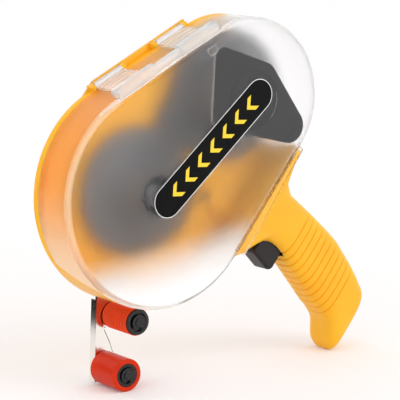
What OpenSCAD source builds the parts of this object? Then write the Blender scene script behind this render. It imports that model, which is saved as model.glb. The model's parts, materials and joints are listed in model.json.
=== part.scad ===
// Hand dispenser for adhesive transfer tape. It stands on its lower roller and on the toe of its grip.
// The drawing's own origin is on the supply reel's axis: X towards the grip, Y away from the cover, Z up.
// The finished part is then moved so that its origin is on the floor, at the middle of its box.

/* [Case] */
// Radius of the supply drum
drum_r = 64.5; // [63:0.5:67]
// Radius of the take-up lobe
lobe_r = 47.5; // [46:0.5:50]
// Take-up axis from the supply axis, along X
lobe_x = 62; // [60:0.5:63]
// Take-up axis over the supply axis
lobe_z = 51; // [49:0.5:52]
// Depth of the case, from the back plate to the cover's face
case_depth = 37; // [36:0.5:42]
// Wall of the back plate
plate_t = 2.5; // [2.2:0.1:3]
// Height of the rim round the back plate
rim_h = 6; // [5:0.5:8]
// Wall of the rim
rim_t = 2.4; // [2:0.1:3]
// Radius of the rounded back edge
back_round = 2; // [1:0.25:2]
// Height of the lip that centres the cover
lip_h = 2; // [1:0.25:3]
// Wall of that lip
lip_t = 1.2; // [1:0.1:2]
// Edge of the thumb cut-out, from the take-up axis
thumb_cut = 21; // [16:1:26]
// Direction of the thumb cut-out, degrees over X
thumb_a = 22; // [18:1:26]

/* [Cover] */
// Wall of the clear cover
cover_t = 2; // [1.6:0.1:2.4]
// Radius of the cover's rounded front edge
cover_round = 4; // [3:0.25:5]
// Gap round the cover where it closes
cover_gap = 0.3; // [0.2:0.05:0.5]
// Width of a hinge strap
strap_w = 20; // [16:1:22]
// Middle of the lower hinge strap along the hinge edge
lower_strap_at = 15.5; // [15:0.5:20]
// Middle of the upper hinge strap along the hinge edge
upper_strap_at = 63; // [52:0.5:63]
// Height of a strap over the cover's side
strap_t = 1.6; // [1:0.1:2]
// Radius of the hinge knuckles
knuckle_r = 2.2; // [2:0.1:2.4]
// Radius of the hinge pins
hinge_pin_r = 1; // [0.8:0.1:1.2]
// Wall of the ledge behind the hinge
ledge_t = 1.5; // [1.2:0.1:1.8]
// Length of the lug at each end of a strap
lug_w = 3; // [2.5:0.25:3.5]
// Radius of the bead along the hinge edge
bead_r = 3.4; // [2.8:0.1:3.6]
// Radius of the collar where a strap meets the bead
collar_r = 4; // [3.5:0.25:4.5]
// Reach of the opening lip at its lower end
lip_reach = 4; // [2:0.5:5]
// Length of the label
label_l = 104; // [90:1:106]
// Width of the label
label_w = 19; // [15:0.5:20]
// Thickness of the label
label_t = 0.4; // [0.2:0.1:0.6]
// Thickness of the spool retainer
retainer_t = 2; // [1.5:0.25:2.5]

/* [Reels] */
// Module of the gears
gear_m = 1.5; // [1.4:0.05:1.5]
// Teeth of the supply gear
supply_teeth = 44; // [44]
// Teeth of the idler gear
idler_teeth = 22; // [22]
// Teeth of the take-up gear
take_up_teeth = 22; // [22]
// Thickness of the gears
gear_t = 4; // [3:0.25:5]
// Thinning of each tooth for play
gear_play = 0.25; // [0.2:0.05:0.35]
// Radius of the supply flange
supply_flange_r = 37.5; // [36:0.5:38]
// Radius of the take-up flange
take_up_flange_r = 39; // [38:0.5:41]
// Thickness of both flanges
flange_t = 2; // [1.5:0.25:2.5]
// Radius of the post that takes the tape's core
core_r = 12.5; // [11:0.25:13]
// Width of the tape bay between flange and post end
bay_w = 20; // [19:0.5:22]
// Radius of the take-up drum
take_up_r = 24; // [20:0.5:26]
// Radius of the supply and take-up spindles
spindle_r = 4; // [3:0.25:5]
// Radius of the idler's pin
idler_pin_r = 3; // [2.5:0.25:4]
// Play of a shaft in its bore, on the radius
run = 0.05; // [0.03:0.01:0.08]

/* [Nose] */
// Radius of the upper roller
upper_r = 8; // [7:0.25:8.5]
// Radius of the lower roller
lower_r = 9.5; // [9:0.25:10]
// Length of the rollers
roller_l = 24; // [22:0.5:25]
// Radius of the roller cores
roller_core_r = 6.8; // [6:0.1:7]
// Reach of the upper roller's cap in front of its sleeve
cap_reach = 1.2; // [0.8:0.1:1.2]
// Radius of the roller axles
axle_r = 2.5; // [2:0.25:3]
// Upper axle behind the supply axis
upper_x = 15; // [13:0.2:16]
// Upper axle under the drum's edge
upper_drop = 7.6; // [7.6:0.1:9]
// Lower axle behind the supply axis
lower_x = 22; // [20:0.5:23]
// Floor under the drum's edge
floor_drop = 45.5; // [44:0.5:47]
// Sheet of the nose bracket
sheet_t = 1.5; // [1:0.1:2]
// Ridges round the upper roller
ridge_n = 15; // [8:1:18]
// Depth of those ridges
ridge_d = 0.5; // [0.2:0.05:0.6]

/* [Grip] */
// Half the thickness of the grip
grip_half = 13; // [12.5:0.25:14]
// Depth of the split between the grip's halves, behind the middle
grip_split = 1; // [0:0.25:2]
// Grooves across the grip
groove_n = 11; // [6:1:11]
// Spacing of the grooves
groove_step = 5; // [4:0.25:5]
// Depth of a groove
groove_d = 0.7; // [0.4:0.1:1]
// Width of a groove
groove_w = 1.4; // [1:0.1:2]
// Width of the trigger
trigger_w = 14; // [10:0.5:16]
// Radius of the trigger pin
trigger_pin_r = 1.5; // [1.2:0.1:2]
// Radius of the grip screws
screw_r = 1.5; // [1.2:0.1:2]

/* [Hidden] */
$fn = 48;

// Depths of the layers, from the back plate forwards
y_back = case_depth / 2;
y_face = -case_depth / 2;
y_plate = y_back - plate_t;
y_rim = y_back - rim_h;
axial_gap = 0.5;
y_gear = y_plate - axial_gap;
y_flange = y_gear - gear_t;
y_bay = y_flange - flange_t;
y_post_end = y_bay - bay_w;
y_inner = y_face + cover_t;

// Directions of the two straight edges that touch both circles of the outline
lobe = [lobe_x, lobe_z];
span = norm(lobe);
flare = asin((drum_r - lobe_r) / span);
grip_a = atan2(lobe_z, lobe_x) + flare;
hinge_a = atan2(lobe_z, lobe_x) - flare;
edge_l = span * cos(flare);

// Normals of those edges, and a point at a height off an edge and a distance along it
grip_n = [sin(grip_a), -cos(grip_a)];
hinge_n = [-sin(hinge_a), cos(hinge_a)];
function grip_point(t, s) = (drum_r + t) * grip_n + s * [cos(grip_a), sin(grip_a)];
function hinge_point(o, s) = (drum_r + o) * hinge_n + s * [cos(hinge_a), sin(hinge_a)];

// Places of the axes
supply = [0, 0];
supply_pitch_r = gear_m * supply_teeth / 2;
idler_pitch_r = gear_m * idler_teeth / 2;
take_up_pitch_r = gear_m * take_up_teeth / 2;
supply_idler = supply_pitch_r + idler_pitch_r;
idler_take_up = idler_pitch_r + take_up_pitch_r;
idler_turn = acos((supply_idler ^ 2 + span ^ 2 - idler_take_up ^ 2) / (2 * supply_idler * span));
idler_a = atan2(lobe_z, lobe_x) + idler_turn;
idler = supply_idler * [cos(idler_a), sin(idler_a)];
upper_axle = [-upper_x, -sqrt((drum_r + upper_drop) ^ 2 - upper_x ^ 2)];
floor_z = -drum_r - floor_drop;
lower_axle = [-lower_x, floor_z + lower_r];
hinge_o = knuckle_r - 0.6;
ledge_inset = 0.3;
y_ledge = y_back - ledge_inset - ledge_t;
hinge_y = y_ledge - cover_gap - knuckle_r;
strap_at = [lower_strap_at, upper_strap_at];
trigger_pivot = [42, 29];
brake_pivot = [supply_flange_r + 3.1 - drum_r, 23.6];

// Frames
module placed() translate([-x_mid, 0, -floor_z]) children();

// Extrudes an outline drawn in X and Z, from depth y forwards
module slab(y, h) translate([0, y, 0]) rotate([90, 0, 0]) linear_extrude(h) children();

// Turns a profile of radius and depth about an axis along Y, from depth y forwards
module turned(at, y) translate([at[0], y, at[1]]) rotate([90, 0, 0]) rotate_extrude() children();

// A round post along Y, from depth y forwards
module post(at, y, h, r) translate([at[0], y, at[1]]) rotate([90, 0, 0]) cylinder(h = h, r = r);

// Grip frame: X square to the grip edge of the case, Y along that edge, Z towards the viewer from depth y
module in_grip(y) {
  multmatrix([[grip_n[0], cos(grip_a), 0, drum_r * grip_n[0]], [0, 0, -1, y],
    [grip_n[1], sin(grip_a), 0, drum_r * grip_n[1]], [0, 0, 0, 1]]) children();
}

// Hinge frame: X off the hinge edge, Y towards the viewer, Z along the edge
module in_hinge(y) {
  multmatrix([[hinge_n[0], 0, cos(hinge_a), drum_r * hinge_n[0]], [0, -1, 0, y],
    [hinge_n[1], 0, sin(hinge_a), drum_r * hinge_n[1]], [0, 0, 0, 1]]) children();
}

// Outline of the case: two circles and the straight edges that touch both
outline_n = 80;
module outline(inset = 0) {
  hull() {
    circle(drum_r - inset, $fn = outline_n);
    translate(lobe) circle(lobe_r - inset, $fn = outline_n);
  }
}

// Section of a disc of radius r and height h with a rounded top edge
module disc_section(r, h, round) {
  square([r - round, h]);
  square([r, h - round]);
  translate([r - round, h - round]) circle(round, $fn = 20);
}

// Solid of the case outline with a rounded edge at its far end
module pan(inset, h, round) {
  hull() {
    rotate_extrude($fn = outline_n) disc_section(drum_r - inset, h, round);
    translate(lobe) rotate_extrude($fn = outline_n) disc_section(lobe_r - inset, h, round);
  }
}

// The pan standing in the case, from depth y forwards or, mirrored, backwards
module pan_forward(y, inset, h, round) translate([0, y, 0]) rotate([90, 0, 0]) pan(inset, h, round);
module pan_back(y, inset, h, round) {
  translate([0, y, 0]) mirror([0, 1, 0]) rotate([90, 0, 0]) pan(inset, h, round);
}

// Half plane behind the lobe where the back plate is cut away for the thumb
module thumb_side(inset = 0) {
  translate(lobe) rotate(thumb_a) translate([thumb_cut - inset, -2 * lobe_r])
    square([3 * lobe_r, 4 * lobe_r]);
}

// Window at the nose, drawn as tangent distance and depth and cut along the radius at nose_a
nose_a = 232;
shroud_back = -20;
shroud_end = 13;
mouth_end = 49;
y_band = y_face + 4.9;
module nose_window(back, front, end, y0, y1) {
  multmatrix([[-sin(nose_a), 0, cos(nose_a), 0], [0, -1, 0, 0],
    [cos(nose_a), 0, sin(nose_a), 0], [0, 0, 0, 1]])
    translate([0, 0, drum_r / 2]) linear_extrude(drum_r)
      polygon([[back, -y0], [end, -y0], [end, -y1], [front, -y1]]);
}

// Loft of the grip: stations across it, each with its distance off the case edge, front and rear limits along
// the edge, half thickness and squareness of the section
grip_start = cover_gap + 0.1;
grip_end = 108.5;
grip_stations = [[grip_start, -2, 78, grip_half + 3.4, 9], [3, 0.5, 77, grip_half + 3.2, 8],
  [6, 4, 70, grip_half + 2.6, 7], [9, 8, 60, grip_half + 2, 6], [13, 14, 56.9, grip_half + 1.4, 5],
  [18, 20, 54.7, grip_half + 0.8, 4], [24, 22.8, 54.5, grip_half + 0.4, 3.6],
  [32, 22.8, 54.4, grip_half + 0.1, 3.4], [45, 19.4, 53.9, grip_half, 3.4],
  [66, 14.3, 52.1, grip_half, 3.4], [77.5, 11.4, 49, grip_half, 3.4], [82.6, 10.7, 47.5, grip_half, 3.4],
  [85.7, 9.8, 46.5, grip_half, 3.5], [88.8, 9.2, 45, grip_half, 3.7], [91.9, 8, 43.7, grip_half, 4],
  [94.9, 6, 42.3, grip_half, 4.2], [98, 2, 40.8, grip_half, 4.3], [101.1, -1.8, 39.6, grip_half, 4.3],
  [104.3, -3.7, 37.6, grip_half - 0.4, 4.2], [106.6, -4.4, 34.4, grip_half - 1.6, 4],
  [107.9, -3.7, 31, grip_half - 3.2, 3.8], [grip_end, -1.4, 28, grip_half - 5, 3.6]];
station_t = [for (g = grip_stations) g[0]];

// Smooth curve through the stations: a cubic with the slope of the neighbours at each station
function station_at(t) = max([for (i = [0:len(station_t) - 2]) t >= station_t[i] ? i : 0]);
function slope(i, k) = let (a = max(i - 1, 0), b = min(i + 1, len(station_t) - 1))
  (grip_stations[b][k] - grip_stations[a][k]) / (station_t[b] - station_t[a]);
function grip_value(t, k) =
  let (i = station_at(t), w = station_t[i + 1] - station_t[i], u = (t - station_t[i]) / w)
  (2 * u ^ 3 - 3 * u ^ 2 + 1) * grip_stations[i][k] + (u ^ 3 - 2 * u ^ 2 + u) * w * slope(i, k)
  + (3 * u ^ 2 - 2 * u ^ 3) * grip_stations[i + 1][k] + (u ^ 3 - u ^ 2) * w * slope(i + 1, k);

// Rings of the loft: closer where the outline turns, three to a groove
groove_from = 36;
groove_list = [for (i = [0:groove_n - 1]) groove_from + i * groove_step];
ring_t = concat([grip_start, 2, 4, 6, 8, 10, 12.5, 15, 18, 21, 25, 29, 33],
  [for (g = groove_list, e = [-0.5, 0, 0.5]) g + e * groove_w],
  [88, 90, 92, 94, 96, 98, 100, 102, 104, 105.5, 106.6, 107.4, 108, grip_end]);
ring_sides = 18;
function is_groove(t) = len([for (g = groove_list) if (abs(g - t) < 0.01) g]) > 0 ? 1 : 0;

// Groove depth round the section: full at the front edge and the side, none at the rear edge
function groove_fade(a) = let (u = min(max((a - 25) / 35, 0), 1)) u * u * (3 - 2 * u);
function rounded(v, n) = sign(v) * abs(v) ^ (2 / n);

// One half of a ring, from the rear edge round the side to the front edge; side is 1 for the front half
function grip_ring(t, side) =
  let (f = grip_value(t, 1), r = grip_value(t, 2), b = grip_value(t, 3), n = grip_value(t, 4))
  [for (j = [0:ring_sides]) let (a = 180 * j / ring_sides, d = is_groove(t) * groove_d * groove_fade(a))
    [t, (f + r) / 2 + ((r - f) / 2 - d) * rounded(cos(a), n), side * (b - d) * rounded(sin(a), n)]];
function grip_ring_points() = [for (t = ring_t, p = grip_ring(t, 1)) grip_point(p[0], p[1])];

// Middle of the finished part along X, from the drum's edge to the heel of the grip
x_mid = (max([for (p = grip_ring_points()) p[0]]) - drum_r) / 2;

// Half of the grip as a closed solid, flat on the split
module grip_half_solid(side) {
  n = ring_sides + 1;
  m = len(ring_t);
  points = [for (t = ring_t) each grip_ring(t, side)];
  skin = [for (i = [0:m - 2], j = [0:n - 1]) let (k = (j + 1) % n) each
    [[i * n + j, (i + 1) * n + j, i * n + k], [(i + 1) * n + j, (i + 1) * n + k, i * n + k]]];
  caps = [[for (j = [0:n - 1]) j], [for (j = [n - 1:-1:0]) (m - 1) * n + j]];
  faces = concat(skin, caps);
  turned_faces = [for (f = faces) [for (j = [len(f) - 1:-1:0]) f[j]]];
  in_grip(grip_split) polyhedron(points, side > 0 ? faces : turned_faces);
}

// Room in the grip for the trigger, its arm, its pin, its spring and the screws
pocket_gap = 0.6;
pocket_from = 15.2;
arm_w = 3;
arm_y = grip_split + 6.5;
spring_at = 27;
spring_from = 33.2;
spring_to = 44;
spring_coil_r = 3;
spring_wire_r = 0.4;
pin_reach = 10;
screw_at = [[12, 46], [62, 40], [98, 24]];
head_r = 2.9;
head_h = 2.2;
head_sink = 8;
screw_l = 20;
module grip_room() {
  in_grip(grip_split + trigger_w / 2 + pocket_gap) linear_extrude(trigger_w + 2 * pocket_gap)
    polygon([[pocket_from, 0], [38, 0], [38, 22], [48, 22], [48, 38], [pocket_from, 38]]);
  in_grip(arm_y + pocket_gap) linear_extrude(arm_w + 2 * pocket_gap)
    polygon([[-1, 18.2], [19, 23], [19, 37], [-1, 31]]);
  grip_post(trigger_pivot, grip_split + pin_reach, 2 * pin_reach, trigger_pin_r);
  in_grip(grip_split) translate([spring_at, spring_from, 0]) rotate([-90, 0, 0])
    cylinder(h = spring_to - spring_from, r = spring_coil_r + spring_wire_r + pocket_gap);
  for (p = screw_at) {
    grip_post(p, grip_split + grip_half + 2, grip_half + 2 - head_sink, head_r + cover_gap);
    grip_post(p, grip_split + head_sink + head_h, screw_l + head_h, screw_r);
  }
}
module grip_post(at, y, h, r) post(grip_point(at[0], at[1]), y, h, r);

// Case: back shell with the rear half of the grip
yellow = [0.98, 0.72, 0.12];
boss_r = 5;
bracket_screw_at = [[-20, 11 - drum_r], [-9, 9.5 - drum_r]];
y_bracket = y_plate - 3.2;
module housing() {
  color(yellow) difference() {
    union() {
      difference() {
        back_shell();
        nose_window(shroud_end, shroud_end, mouth_end, y_bracket + sheet_t + cover_gap, y_face);
      }
      slab(y_plate, 1.7) for (p = bracket_screw_at) translate(p) circle(4);
      post(grip_point(brake_pivot[0], brake_pivot[1]), y_plate, 4, boss_r);
      hinge_ledge();
      nose_shroud();
      in_grip(y_plate + 1.2) linear_extrude(4) translate([-2.2, 6]) square([5, edge_l - 14]);
      grip_half_solid(-1);
    }
    grip_room();
    for (p = [supply, lobe]) rivet_hole(p, spindle_r);
    rivet_hole(idler, idler_pin_r);
    post(grip_point(brake_pivot[0], brake_pivot[1]), y_plate, 4, 1.5);
    for (p = bracket_screw_at) post(p, y_plate, 2, screw_r);
    for (s = strap_at) strap_room(s);
    hinge_pin_holes();
  }
}

module back_shell() {
  lip_inset = cover_t + cover_gap;
  difference() {
    pan_back(y_rim, 0, rim_h, back_round);
    slab(y_plate, rim_h) outline(rim_t);
    slab(y_back + 1, rim_h + 2) thumb_side();
  }
  slab(y_plate + 1, y_plate + 1 - y_rim + lip_h) difference() {
    outline(lip_inset);
    outline(lip_inset + lip_t);
    thumb_side(lip_inset);
  }
}

// Ledge along the hinge edge: a thin wall at the back that ramps up from the drum, and lugs for the pins
ledge_h = hinge_o + knuckle_r;
lug_r = 1.8;
module hinge_ledge() {
  slab(y_back - ledge_inset, ledge_t) polygon([hinge_point(-1.5, -3), hinge_point(-0.8, -3),
    hinge_point(ledge_h, 7), hinge_point(ledge_h, edge_l - 1), hinge_point(-1.5, edge_l - 1)]);
  for (s = strap_at, d = [-1, 1]) in_hinge(hinge_y)
    translate([0, 0, s + d * (strap_w / 2 + cover_gap + lug_w / 2) - lug_w / 2]) linear_extrude(lug_w) {
      translate([hinge_o, 0]) circle(lug_r);
      translate([-1, hinge_y - y_ledge - 0.5]) square([1 + hinge_o + lug_r, y_ledge - hinge_y + 0.5]);
      translate([-1, 0]) square([1 + hinge_o, hinge_y - y_rim - cover_gap]);
    }
}

module strap_room(s) {
  w = strap_w + 2 * cover_gap;
  in_hinge(y_ledge) translate([-strap_sink - 2 * cover_gap, 0, s - w / 2]) cube([8, 14, w]);
}

// Pins of the hinge, which end inside the lugs
hinge_pin_l = strap_w + 2 * lug_w;
module hinge_pin_holes() {
  for (s = strap_at) in_hinge(hinge_y) translate([hinge_o, 0, s - hinge_pin_l / 2 - 0.1])
    cylinder(h = hinge_pin_l + 0.2, r = hinge_pin_r);
}

// Yellow wall of full depth under the front of the drum, where the cover has no side
module nose_shroud() {
  intersection() {
    slab(y_back - back_round, y_back - back_round - y_band - cover_gap) difference() {
      outline();
      outline(rim_t);
    }
    nose_window(shroud_back + cover_gap, cover_gap, shroud_end, y_rim + 1, y_band + cover_gap);
  }
}

rivet_r = 6;
rivet_h = 1;
module rivet_hole(at, r) {
  post(at, y_back + 1, plate_t + 2, r - 1);
  post(at, y_back + 1, rivet_h + 1, rivet_r);
}

module grip_cover() {
  color(yellow) difference() {
    grip_half_solid(1);
    grip_room();
  }
}

steel = [0.75, 0.76, 0.78];
module grip_screws() {
  color(steel) for (p = screw_at) turned(grip_point(p[0], p[1]), grip_split + head_sink + head_h)
    polygon([[0, 0], [head_r - 0.5, 0], [head_r, 0.8], [head_r, head_h], [screw_r, head_h],
      [screw_r, screw_l], [0, screw_l + 1]]);
}

bead_sink = 0.4;
bead_o = 1.8;

// Clear cover: a deep dish with a window at the nose, a notch for the trigger's arm, hinge straps and a lip
module clear_cover() {
  color([0.9, 0.92, 0.95, 0.45]) difference() {
    union() {
      difference() {
        pan_forward(y_rim - cover_gap, 0, y_rim - cover_gap - y_face, cover_round);
        pan_forward(y_rim, cover_t, y_rim - y_inner, cover_round - cover_t);
        nose_window(shroud_back, 0, mouth_end, y_rim + 1, y_band);
        in_grip(y_rim + 1) translate([-cover_t - 1, 16, 0])
          cube([cover_t + 2, 18, y_rim + 1 - arm_y + arm_w + 2]);
      }
      for (s = strap_at) hinge_strap(s);
      in_hinge(y_face + bead_r + bead_sink) translate([bead_o, 0, 1])
        cylinder(h = edge_l - 2, r = bead_r);
      in_grip(y_inner) linear_extrude(cover_t)
        polygon([[-2 * cover_t, 2], [lip_reach, 4], [lip_reach / 3, edge_l - 2], [-2 * cover_t, edge_l - 2]]);
    }
    slab(y_face + label_t, label_t + 1) {
      label_outline();
      spool_ring();
      latch_mark();
    }
    hinge_pin_bores();
  }
}

// A strap from its knuckle behind the rim to the bead at the front
strap_sink = 0.6;
collar_out = 5;
rib_n = 3;
rib_step = 5;
rib_w = 1.2;
rib_h = 0.5;
module hinge_strap(s) {
  from = s - strap_w / 2;
  in_hinge(hinge_y) translate([hinge_o, 0, from]) cylinder(h = strap_w, r = knuckle_r);
  in_hinge(hinge_y) translate([-strap_sink, 0, from])
    cube([strap_sink + strap_t, hinge_y - y_face - collar_r, strap_w]);
  in_hinge(hinge_y) for (k = [1:rib_n]) translate([strap_t - rib_h, k * rib_step, from])
    cube([2 * rib_h, rib_w, strap_w]);
  in_hinge(y_face + collar_r + bead_sink / 2) translate([bead_o, 0, from - collar_out])
    cylinder(h = strap_w + 1.6 * collar_out, r = collar_r);
}

module hinge_pin_bores() {
  for (s = strap_at) in_hinge(hinge_y) translate([hinge_o, 0, s - strap_w / 2 - 1])
    cylinder(h = strap_w + 2, r = hinge_pin_r + run);
}

module label_outline() {
  translate([34, 25.5]) rotate(41) stadium(label_l, label_w);
}

// Moulded lines in the cover's face: a ring round the take-up axis and a small frame by the upper strap
line_w = 0.9;
ring_r = 17;
module spool_ring() {
  translate(lobe) difference() {
    circle(ring_r + line_w / 2);
    circle(ring_r - line_w / 2);
  }
}

module latch_mark() {
  translate(hinge_point(-10.5, upper_strap_at)) rotate(hinge_a) difference() {
    square([7, 5]);
    translate([line_w, line_w]) square([7 - 2 * line_w, 5 - 2 * line_w]);
  }
}

module stadium(l, w) {
  square([l - w, w], center = true);
  for (x = [-1, 1]) translate([x * (l - w) / 2, 0]) circle(w / 2);
}

module cover_label() {
  color([0.05, 0.05, 0.05]) slab(y_face + label_t, label_t) label_outline();
}

// Black plate on the inside of the cover that keeps the take-up spool on its spindle
module spool_retainer() {
  corners = [[-20, 25.2, 6], [9.3, 12.9, 8], [28, -17.5, 10], [-22, -9, 6]];
  color([0.2, 0.2, 0.2]) slab(y_inner + retainer_t, retainer_t)
    hull() for (c = corners) translate(lobe + [c[0], c[1]]) circle(c[2]);
}

module hinge_pins() {
  color(steel) for (s = strap_at) in_hinge(hinge_y) translate([hinge_o, 0, s - hinge_pin_l / 2])
    cylinder(h = hinge_pin_l, r = hinge_pin_r);
}

// Spindles: a riveted foot in the back plate, a thrust collar and a shaft with a groove for its clip
clip_t = 0.8;
clip_gap = 0.2;
collar_h = 0.3;
module spindle(at, r, y_end) {
  y_clip = y_end - clip_gap;
  turned(at, y_back)
    polygon([[0, 0], [rivet_r - 0.6, 0], [rivet_r, 0.4], [rivet_r, rivet_h], [r - 1, rivet_h],
      [r - 1, plate_t], [r + 2.5, plate_t], [r + 2.5, plate_t + collar_h], [r, plate_t + collar_h],
      [r, y_back - y_clip], [r - 0.7, y_back - y_clip],
      [r - 0.7, y_back - y_clip + clip_t], [r, y_back - y_clip + clip_t], [r, y_back - y_clip + clip_t + 0.4],
      [r - 0.3, y_back - y_clip + clip_t + 0.7], [0, y_back - y_clip + clip_t + 0.7]]);
}

// Spring clip, a ring with a mouth, in the groove of a shaft whose part ends at y_end
module clip(at, r, y_end) {
  slab_at(at, y_end - clip_gap, clip_t) difference() {
    circle(r + 2);
    circle(r - 0.7);
    translate([0, -r - 2]) square([2 * r - 2.4, 2 * r], center = true);
  }
}
module slab_at(at, y, h) translate([at[0], 0, at[1]]) slab(y, h) children();

y_idler_end = y_gear - gear_t / 2;
y_cap_end = y_post_end + 1;
module supply_spindle() color(steel) spindle(supply, spindle_r, y_post_end);
module idler_pin() color(steel) spindle(idler, idler_pin_r, y_idler_end);
module take_up_spindle() color(steel) spindle(lobe, spindle_r, y_cap_end);
module spindle_clips() {
  color(steel) {
    clip(supply, spindle_r, y_post_end);
    clip(lobe, spindle_r, y_cap_end);
    clip(idler, idler_pin_r, y_idler_end);
  }
}

// Supply hub: boss for the gear, flange and hollow post for the tape's core
hub_boss_r = 9;
hub_wall = 2.2;
module supply_hub() {
  bore = spindle_r + run;
  end = gear_t + flange_t + bay_w;
  web = gear_t + 2 * flange_t;
  color([0.13, 0.13, 0.13]) turned(supply, y_gear)
    polygon([[bore, 0], [hub_boss_r, 0], [hub_boss_r, gear_t], [supply_flange_r, gear_t],
      [supply_flange_r, gear_t + flange_t], [core_r, gear_t + flange_t], [core_r, end],
      [core_r - hub_wall, end], [core_r - hub_wall, web], [bore + hub_wall, web], [bore + hub_wall, end],
      [bore, end]]);
}

// Involute tooth: half its angle at a radius, from the pitch circle's width less the play
function inv(a) = tan(a) * 180 / PI - a;
function tooth_half(r, rp, z) =
  90 / z - gear_play / 2 / rp * 180 / PI + inv(20) - inv(acos(min(rp * cos(20) / r, 1)));
function polar(r, a) = r * [cos(a), sin(a)];
function gear_tooth(a, rp, tip, root, w_root, w_pitch, w_tip) =
  [polar(root, a - w_root), polar(rp, a - w_pitch), polar(tip, a - w_tip),
    polar(tip, a + w_tip), polar(rp, a + w_pitch), polar(root, a + w_root)];
function gear_points(z) =
  let (rp = gear_m * z / 2, tip = rp + gear_m, root = rp - 1.25 * gear_m, base = max(root, rp * cos(20)))
  [for (i = [0:z - 1]) each gear_tooth(360 * i / z, rp, tip, root, tooth_half(base, rp, z),
    tooth_half(rp, rp, z), tooth_half(tip, rp, z))];

// Turns that bring each gear into mesh with the one before it
supply_turn = idler_a;
idler_tooth = idler_a + 180 + 180 / idler_teeth;
to_take_up = atan2(lobe[1] - idler[1], lobe[0] - idler[0]);
mesh_shift = (to_take_up - idler_tooth) * idler_teeth / take_up_teeth;
take_up_turn = to_take_up + 180 + mesh_shift + 180 / take_up_teeth;
gear_black = [0.16, 0.16, 0.16];
module gear_blank(at, z, turn, bore) {
  slab_at(at, y_gear, gear_t) difference() {
    rotate(turn) polygon(gear_points(z));
    circle(bore);
    children();
  }
}

module supply_gear() {
  color(gear_black) gear_blank(supply, supply_teeth, supply_turn, hub_boss_r)
    for (a = [0:60:300]) rotate(a + 30) translate([(hub_boss_r + supply_pitch_r) / 2, 0]) circle(6);
}

module idler_gear() {
  color(gear_black) difference() {
    gear_blank(idler, idler_teeth, idler_tooth, idler_pin_r + run);
    post(idler, y_idler_end, gear_t, idler_pin_r + 3);
  }
}

module take_up_gear() {
  color(gear_black) gear_blank(lobe, take_up_teeth, take_up_turn, spindle_r + run);
}

// Take-up: felt, spool, spring and cap, clamped on the gear by the clip
felt_t = 0.5;
spool_hub_r = 7;
spool_wall = 2.4;
clutch_coil_r = 9.5;
clutch_wire_r = 0.8;
cap_t = 1.2;
cap_r = 12;
module clutch_felt() {
  color([0.55, 0.5, 0.45]) slab_at(lobe, y_flange, felt_t) difference() {
    circle(take_up_pitch_r - 3);
    circle(spindle_r + 1);
  }
}

module take_up_spool() {
  bore = spindle_r + run;
  web = flange_t + 1;
  end = y_flange - felt_t - y_post_end;
  tube = y_flange - felt_t - y_cap_end - cap_t - 5;
  color([0.1, 0.1, 0.1]) difference() {
    turned(lobe, y_flange - felt_t)
      polygon([[bore, 0], [take_up_flange_r, 0], [take_up_flange_r, flange_t], [take_up_r, flange_t],
        [take_up_r, end], [take_up_r - spool_wall, end], [take_up_r - spool_wall, web], [spool_hub_r, web],
        [spool_hub_r, tube], [bore, tube]]);
    slab_at(lobe, y_bay - flange_t, bay_w + 2) rotate(-70) translate([take_up_r, 0])
      square([3 * spool_wall, 1.6], center = true);
  }
}

// One turn of wire after another as a swept tube: rings of six points along a helix
coil_sides = 6;
coil_rings = 8;
function coil_points(r, wire, length, turns) = [for (i = [0:turns * coil_rings], j = [0:coil_sides - 1])
  let (a = 360 * i / coil_rings, b = 360 * j / coil_sides, q = r + wire * cos(b))
  [q * cos(a), q * sin(a), length * i / (turns * coil_rings) + wire * sin(b)]];
module coil(r, wire, length, turns) {
  n = turns * coil_rings;
  sides = coil_sides;
  polyhedron(coil_points(r, wire, length, turns), concat(
    [for (i = [0:n - 1], j = [0:sides - 1]) let (k = (j + 1) % sides) each
      [[i * sides + j, i * sides + k, (i + 1) * sides + j],
        [i * sides + k, (i + 1) * sides + k, (i + 1) * sides + j]]],
    [[for (j = [sides - 1:-1:0]) j], [for (j = [0:sides - 1]) n * sides + j]]));
}

module clutch_spring() {
  from = y_flange - felt_t - flange_t - 1;
  length = from - y_cap_end - cap_t - 2 * clutch_wire_r;
  color(steel) translate([lobe[0], from - clutch_wire_r, lobe[1]]) rotate([90, 0, 0])
    coil(clutch_coil_r, clutch_wire_r, length, 5);
}

module spring_cap() {
  color(steel) slab_at(lobe, y_cap_end + cap_t, cap_t) difference() {
    circle(cap_r);
    circle(spindle_r + run);
  }
}

// Nose: bent bracket, axles, rollers and their clips
edge_z = -drum_r;
bracket_left = [[-24.6, edge_z + 15.5], [-26.2, edge_z + 3.5], [-28.3, floor_z + 1]];
bracket_right = [[-15, floor_z + 4], [-15.3, floor_z + 18], [-17, floor_z + 23.3], [-21, edge_z - 13.5],
  [-8, edge_z - 8], [-4, edge_z + 4.5], [-4, edge_z + 13.5]];
module roller_bracket() {
  color(steel) {
    difference() {
      slab(y_bracket + sheet_t, sheet_t) {
        polygon(concat(bracket_left, bracket_right));
        translate(upper_axle) circle(6.5);
        translate(lower_axle) circle(7.5);
      }
      for (p = [upper_axle, lower_axle]) post(p, y_back, rim_h + sheet_t, axle_r - 0.8);
      for (p = bracket_screw_at) post(p, y_back, rim_h + sheet_t, screw_r);
    }
    slab(y_back, y_back - y_bracket) polygon([bracket_left[1], bracket_left[1] + [sheet_t, 0],
      bracket_left[2] + [sheet_t, 0], bracket_left[2]]);
  }
}

module bracket_screws() {
  color(steel) for (p = bracket_screw_at) turned(p, y_bracket + sheet_t + 1.7)
    polygon([[0, 0], [screw_r, 0], [screw_r, sheet_t + 1.7], [head_r, sheet_t + 1.7], [head_r, sheet_t + 2.7],
      [head_r - 0.6, sheet_t + 3.2], [0, sheet_t + 3.2]]);
}

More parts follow.
